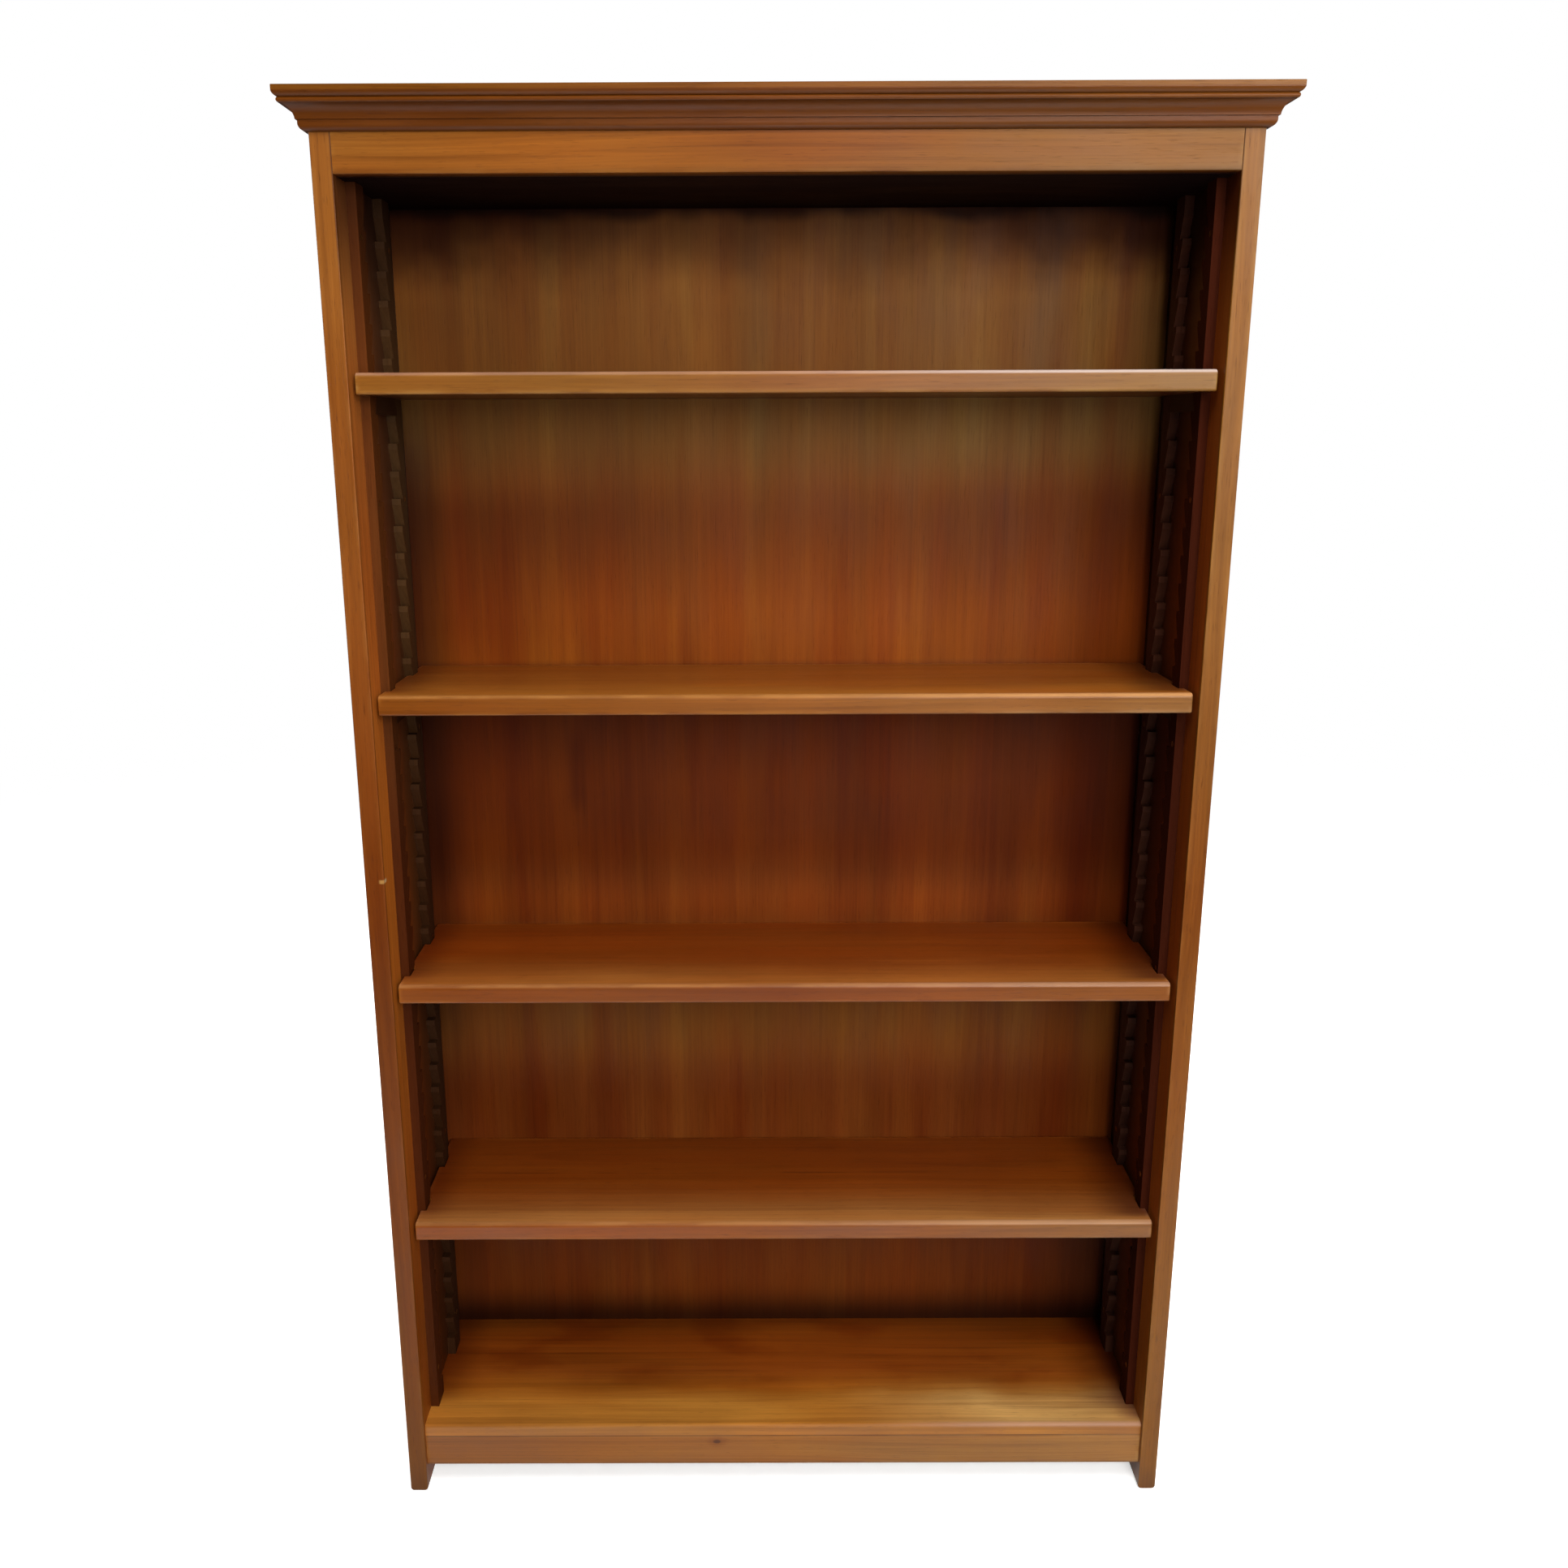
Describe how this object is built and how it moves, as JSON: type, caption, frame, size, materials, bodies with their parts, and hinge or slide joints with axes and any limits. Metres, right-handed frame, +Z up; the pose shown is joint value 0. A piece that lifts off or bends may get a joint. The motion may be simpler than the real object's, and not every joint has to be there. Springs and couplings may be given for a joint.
{
  "type": "bookcase",
  "caption": "Tall open bookcase in stained hardwood: moulded cornice, plinth, veneered back, and loose shelves that rest on bars in upright saw-tooth racks.",
  "frame": {"origin": "on the floor, at the middle of the outline seen from above, cornice included", "axes": "+Z up, -Y towards the open front, +X to the right of someone facing the bookcase"},
  "size_m": [1.16, 0.295, 1.895],
  "materials": {
    "case_wood": "waxed, satin, reddish brown stain",
    "cornice_wood": "waxed, satin, darker brown stain",
    "shelf_wood": "waxed, satin, golden brown stain",
    "back_veneer": "veneered plywood, stained, low sheen",
    "rack_wood": "plain hardwood, dull, darkened",
    "secondary_wood": "unfinished softwood, aged",
    "brass": "tarnished",
    "steel": "dull"
  },
  "bodies": {
    "carcass": {"left_side": "case_wood", "right_side": "case_wood", "plinth_rail": "case_wood", "bottom_board": "case_wood", "top_board": "case_wood", "frieze_rail": "case_wood", "cornice_front": "cornice_wood", "cornice_left": "cornice_wood", "cornice_right": "cornice_wood", "back_panel": "back_veneer", "front_left_rack": "rack_wood", "rear_left_rack": "rack_wood", "front_right_rack": "rack_wood", "rear_right_rack": "rack_wood", "plinth_blocks": "secondary_wood", "frieze_blocks": "secondary_wood", "top_rear_rail": "secondary_wood", "top_cap": "secondary_wood", "plinth_dowels": "secondary_wood", "frieze_dowels": "secondary_wood", "rack_screws": "brass", "back_pins": "steel", "cap_pins": "steel"},
    "shelf_1": {"shelf_1": "shelf_wood"},
    "shelf_2": {"shelf_2": "shelf_wood"},
    "shelf_3": {"shelf_3": "shelf_wood"},
    "shelf_4": {"shelf_4": "shelf_wood"},
    "shelf_1_left_bar": {"shelf_1_left_bar": "rack_wood"},
    "shelf_1_right_bar": {"shelf_1_right_bar": "rack_wood"},
    "shelf_2_left_bar": {"shelf_2_left_bar": "rack_wood"},
    "shelf_2_right_bar": {"shelf_2_right_bar": "rack_wood"},
    "shelf_3_left_bar": {"shelf_3_left_bar": "rack_wood"},
    "shelf_3_right_bar": {"shelf_3_right_bar": "rack_wood"},
    "shelf_4_left_bar": {"shelf_4_left_bar": "rack_wood"},
    "shelf_4_right_bar": {"shelf_4_right_bar": "rack_wood"}
  },
  "joints": [
    {"name": "shelf_1_lift", "type": "slide", "parent": "carcass", "child": "shelf_1", "axis": [0, 0, 1], "range_m": [0, 0.2172]},
    {"name": "shelf_2_lift", "type": "slide", "parent": "carcass", "child": "shelf_2", "axis": [0, 0, 1], "range_m": [0, 0.346]},
    {"name": "shelf_3_lift", "type": "slide", "parent": "carcass", "child": "shelf_3", "axis": [0, 0, 1], "range_m": [0, 0.346]},
    {"name": "shelf_4_lift", "type": "slide", "parent": "carcass", "child": "shelf_4", "axis": [0, 0, 1], "range_m": [0, 0.31]},
    {"name": "shelf_1_left_bar_pull", "type": "slide", "parent": "carcass", "child": "shelf_1_left_bar", "axis": [1, 0, 0], "range_m": [0, 0.03]},
    {"name": "shelf_1_right_bar_pull", "type": "slide", "parent": "carcass", "child": "shelf_1_right_bar", "axis": [-1, 0, 0], "range_m": [0, 0.03]},
    {"name": "shelf_2_left_bar_pull", "type": "slide", "parent": "carcass", "child": "shelf_2_left_bar", "axis": [1, 0, 0], "range_m": [0, 0.03]},
    {"name": "shelf_2_right_bar_pull", "type": "slide", "parent": "carcass", "child": "shelf_2_right_bar", "axis": [-1, 0, 0], "range_m": [0, 0.03]},
    {"name": "shelf_3_left_bar_pull", "type": "slide", "parent": "carcass", "child": "shelf_3_left_bar", "axis": [1, 0, 0], "range_m": [0, 0.03]},
    {"name": "shelf_3_right_bar_pull", "type": "slide", "parent": "carcass", "child": "shelf_3_right_bar", "axis": [-1, 0, 0], "range_m": [0, 0.03]},
    {"name": "shelf_4_left_bar_pull", "type": "slide", "parent": "carcass", "child": "shelf_4_left_bar", "axis": [1, 0, 0], "range_m": [0, 0.03]},
    {"name": "shelf_4_right_bar_pull", "type": "slide", "parent": "carcass", "child": "shelf_4_right_bar", "axis": [-1, 0, 0], "range_m": [0, 0.03]}
  ]
}
